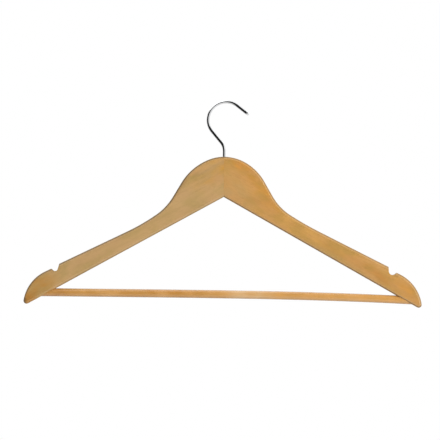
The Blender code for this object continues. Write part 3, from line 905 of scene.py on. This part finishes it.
dowelBar = makeBar()
bradEnd = half - brad["sink"] - brad["length"] - brad["clearance"]
cutAway(dowelBar, [bradHole(side, brad["radius"] + brad["clearance"], bradEnd) for side in (-1, 1)])
placePiece(dowelBar, "wooden_body", "trouser_bar", barWood)
placePiece(makeBrad("bradLeft", -1), "wooden_body", "bar_pin_left", zinc)
placePiece(makeBrad("bradRight", 1), "wooden_body", "bar_pin_right", zinc)


# Studio: a pale floor well below the hanger, a white surround, two soft boxes and a dark wedge
studio = {
    "floorHeight": -1,       # m
    "floorSize": 11,
    "floorColour": "#D6D5D3",
    "floorRoughness": 0.9,
    "floorGlow": 0.84,       # share of plain white that the camera sees in it, so that it stays pale
    "fillAround": 0.18,      # plain light from all round
    "fillFront": 0.63,       # more of it from the front, as beside a large white screen
    "fillFocus": 2,          # power by which that falls off to the sides
    "fillAside": 0.3,        # and more from the right than from the left
    "fillAbove": 0.5,        # and some from overhead
    "keyPower": 40,          # W
    "keyFrom": (1.5, -1.9, 0.6),
    "keySize": 1.2,
    "backPower": 27,
    "backFrom": (0, 2.4, -0.1),
    "backSize": 1.2,
    "lampTarget": (0, 0, -0.14),
    "darkTowards": (-1, 0, -1),          # in reflections a dark wedge opens towards the lower left
    "darkHalfWidth": 0.48,
    "darkSpread": 0.6,       # how fast the wedge widens outwards
    "darkShift": 0.16,       # how far aside its middle line begins
    "darkLean": 0.65,        # and how fast that line goes further aside
    "darkSoftness": 0.12,
    "darkAhead": (0.35, 0.05),           # share of facing back below which it shows, and where it is full
    "darkLevel": 0.015,      # how bright the dark parts are in reflections, against plain white
    "dimBehind": (0.62, 0.8),            # share of facing back from which it is dim there, and dimmest
    "dimDepth": 0.8,
    "ceiling": 2.3,          # brightness overhead in reflections, against plain white
}
white = (1, 1, 1, 1)


def makeFloor():
    bm = bmesh.new()
    bmesh.ops.create_grid(bm, x_segments=1, y_segments=1, size=studio["floorSize"] / 2,
                          matrix=Matrix.Translation((0, 0, studio["floorHeight"])))
    floor = newObject("paleFloor", bm)
    floor.visible_glossy = False
    material, tree, shader = newMaterial("palePaintedFloor")
    shader.inputs["Base Color"].default_value = hexColour(studio["floorColour"])
    shader.inputs["Roughness"].default_value = studio["floorRoughness"]
    glow = addNode(tree, "ShaderNodeEmission", {"Color": white, "Strength": 1})
    rays = addNode(tree, "ShaderNodeLightPath", {})
    share = addNode(tree, "ShaderNodeMath", {"operation": "MULTIPLY", 1: studio["floorGlow"]},
                    {0: rays.outputs["Is Camera Ray"]})
    pale = addNode(tree, "ShaderNodeMixShader", {},
                   {0: share.outputs[0], 1: shader.outputs[0], 2: glow.outputs[0]})

    # From below it is clear, so that it doesn't hide the hanger's underside.
    clear = addNode(tree, "ShaderNodeBsdfTransparent", {})
    side = addNode(tree, "ShaderNodeNewGeometry", {})
    oneWay = addNode(tree, "ShaderNodeMixShader", {},
                     {0: side.outputs["Backfacing"], 1: pale.outputs[0], 2: clear.outputs[0]})
    tree.links.new(oneWay.outputs[0], tree.nodes["Material Output"].inputs["Surface"])
    floor.data.materials.append(material)


def softBox(name, power, start, size):
    lamp = bpy.data.lights.new(name, "AREA")
    lamp.shape = "SQUARE"
    lamp.size = size
    lamp.energy = power
    holder = bpy.data.objects.new(name, lamp)
    holder.location = start
    aim = Vector(studio["lampTarget"]) - holder.location
    holder.rotation_euler = aim.to_track_quat("-Z", "Y").to_euler()
    holder.visible_camera = False
    holder.visible_glossy = False          # reflections show the white surround instead
    bpy.context.scene.collection.objects.link(holder)


def plainLight(tree, axes):          # what lights the wood
    front = addNode(tree, "ShaderNodeMath", {"operation": "MULTIPLY", 1: -1, "use_clamp": True},
                    {0: axes.outputs["Y"]})
    falling = addNode(tree, "ShaderNodeMath", {"operation": "POWER", 1: studio["fillFocus"]},
                      {0: front.outputs[0]})
    frontal = addNode(tree, "ShaderNodeMath", {
        "operation": "MULTIPLY_ADD", 1: studio["fillFront"], 2: studio["fillAround"]},
        {0: falling.outputs[0]})
    lopsided = addNode(tree, "ShaderNodeMath", {"operation": "MULTIPLY_ADD", 1: studio["fillAside"], 2: 1},
                       {0: axes.outputs["X"]})
    around = addNode(tree, "ShaderNodeMath", {"operation": "MULTIPLY"},
                     {0: frontal.outputs[0], 1: lopsided.outputs[0]})
    overhead = addNode(tree, "ShaderNodeMapRange", {"To Max": studio["fillAbove"]},
                       {"Value": axes.outputs["Z"]})
    level = addNode(tree, "ShaderNodeMath", {"operation": "ADD"},
                    {0: around.outputs[0], 1: overhead.outputs["Result"]})
    return addNode(tree, "ShaderNodeBackground", {"Color": white}, {"Strength": level.outputs[0]})


def mirroredRoom(tree, direction, axes):          # what the chrome and the lacquer reflect
    along = Vector(studio["darkTowards"]).normalized()
    across = Vector((along.z, 0, -along.x))
    outward = addNode(tree, "ShaderNodeVectorMath", {"operation": "DOT_PRODUCT", 1: along},
                      {0: direction.outputs["Generated"]})
    aside = addNode(tree, "ShaderNodeVectorMath", {"operation": "DOT_PRODUCT", 1: across},
                    {0: direction.outputs["Generated"]})
    beyond = addNode(tree, "ShaderNodeMath", {"operation": "MAXIMUM", 1: 0}, {0: outward.outputs["Value"]})
    leaning = addNode(tree, "ShaderNodeMath", {"operation": "MULTIPLY_ADD", 1: -studio["darkLean"]},
                      {0: beyond.outputs[0], 2: aside.outputs["Value"]})
    shifted = addNode(tree, "ShaderNodeMath", {"operation": "SUBTRACT", 1: studio["darkShift"]},
                      {0: leaning.outputs[0]})
    offset = addNode(tree, "ShaderNodeMath", {"operation": "ABSOLUTE"}, {0: shifted.outputs[0]})
    reach = addNode(tree, "ShaderNodeMath", {
        "operation": "MULTIPLY_ADD", 1: studio["darkSpread"], 2: studio["darkHalfWidth"]},
        {0: beyond.outputs[0]})
    inside = addNode(tree, "ShaderNodeMath", {"operation": "SUBTRACT"},
                     {0: reach.outputs[0], 1: offset.outputs[0]})
    wedge = addNode(tree, "ShaderNodeMapRange", {
        "From Min": -studio["darkSoftness"], "From Max": studio["darkSoftness"]},
        {"Value": inside.outputs[0]})
    start, full = studio["darkAhead"]
    ahead = addNode(tree, "ShaderNodeMapRange", {"From Min": start, "From Max": full},
                    {"Value": axes.outputs["Y"]})
    darkAhead = addNode(tree, "ShaderNodeMath", {"operation": "MULTIPLY"},
                        {0: wedge.outputs["Result"], 1: ahead.outputs["Result"]})
    start, full = studio["dimBehind"]
    dimBehind = addNode(tree, "ShaderNodeMapRange", {
        "From Min": start, "From Max": full, "To Max": studio["dimDepth"]}, {"Value": axes.outputs["Y"]})
    dark = addNode(tree, "ShaderNodeMath", {"operation": "MAXIMUM"},
                   {0: darkAhead.outputs[0], 1: dimBehind.outputs["Result"]})
    ceiling = addNode(tree, "ShaderNodeMapRange", {"To Min": 1, "To Max": studio["ceiling"]},
                      {"Value": axes.outputs["Z"]})
    level = addNode(tree, "ShaderNodeMapRange", {"To Max": studio["darkLevel"]},
                    {"Value": dark.outputs[0], "To Min": ceiling.outputs["Result"]})
    return addNode(tree, "ShaderNodeBackground", {"Color": white}, {"Strength": level.outputs["Result"]})


# White to the camera, plain light for the wood, and a white room with a dark wedge in reflections
def makeWorld():
    world = bpy.data.worlds.new("whiteStudio")
    bpy.context.scene.world = world
    world.use_nodes = True
    tree = world.node_tree
    tree.nodes.clear()
    direction = addNode(tree, "ShaderNodeTexCoord", {})
    axes = addNode(tree, "ShaderNodeSeparateXYZ", {}, {0: direction.outputs["Generated"]})
    lit = plainLight(tree, axes)
    mirrored = mirroredRoom(tree, direction, axes)
    plain = addNode(tree, "ShaderNodeBackground", {"Color": white, "Strength": 1})
    rays = addNode(tree, "ShaderNodeLightPath", {})
    indirect = addNode(tree, "ShaderNodeMixShader", {},
                       {0: rays.outputs["Is Glossy Ray"], 1: lit.outputs[0], 2: mirrored.outputs[0]})
    straight = addNode(tree, "ShaderNodeMath", {"operation": "MAXIMUM"},
                       {0: rays.outputs["Is Camera Ray"], 1: rays.outputs["Is Transmission Ray"]})
    seen = addNode(tree, "ShaderNodeMixShader", {},
                   {0: straight.outputs[0], 1: indirect.outputs[0], 2: plain.outputs[0]})
    addNode(tree, "ShaderNodeOutputWorld", {}, {"Surface": seen.outputs[0]})


makeFloor()
makeWorld()
softBox("keySoftBox", studio["keyPower"], studio["keyFrom"], studio["keySize"])
softBox("backSoftBox", studio["backPower"], studio["backFrom"], studio["backSize"])
print("studio made")


# Camera: straight on and far away, turned a little, as the photograph is
camera = {
    "distance": 2.5,         # m
    "frame": 0.4926,         # m, width of the picture at the hanger
    "centre": (-0.00387, -0.13054),      # x and z of the picture's middle
    "roll": 0.6,             # degrees
    "sensor": 36,            # mm
}


def makeCamera():
    lens = bpy.data.cameras.new("photoCamera")
    holder = bpy.data.objects.new("photoCamera", lens)
    bpy.context.scene.collection.objects.link(holder)
    lens.sensor_width = camera["sensor"]
    lens.lens = camera["sensor"] * camera["distance"] / camera["frame"]
    holder.location = (camera["centre"][0], -camera["distance"], camera["centre"][1])
    roll = Matrix.Rotation(math.radians(-camera["roll"]), 3, "Y")
    holder.rotation_euler = (roll @ Matrix.Rotation(math.radians(90), 3, "X")).to_euler()
    bpy.context.scene.camera = holder


makeCamera()
bpy.context.scene.view_settings.view_transform = "Standard"
print("camera made")
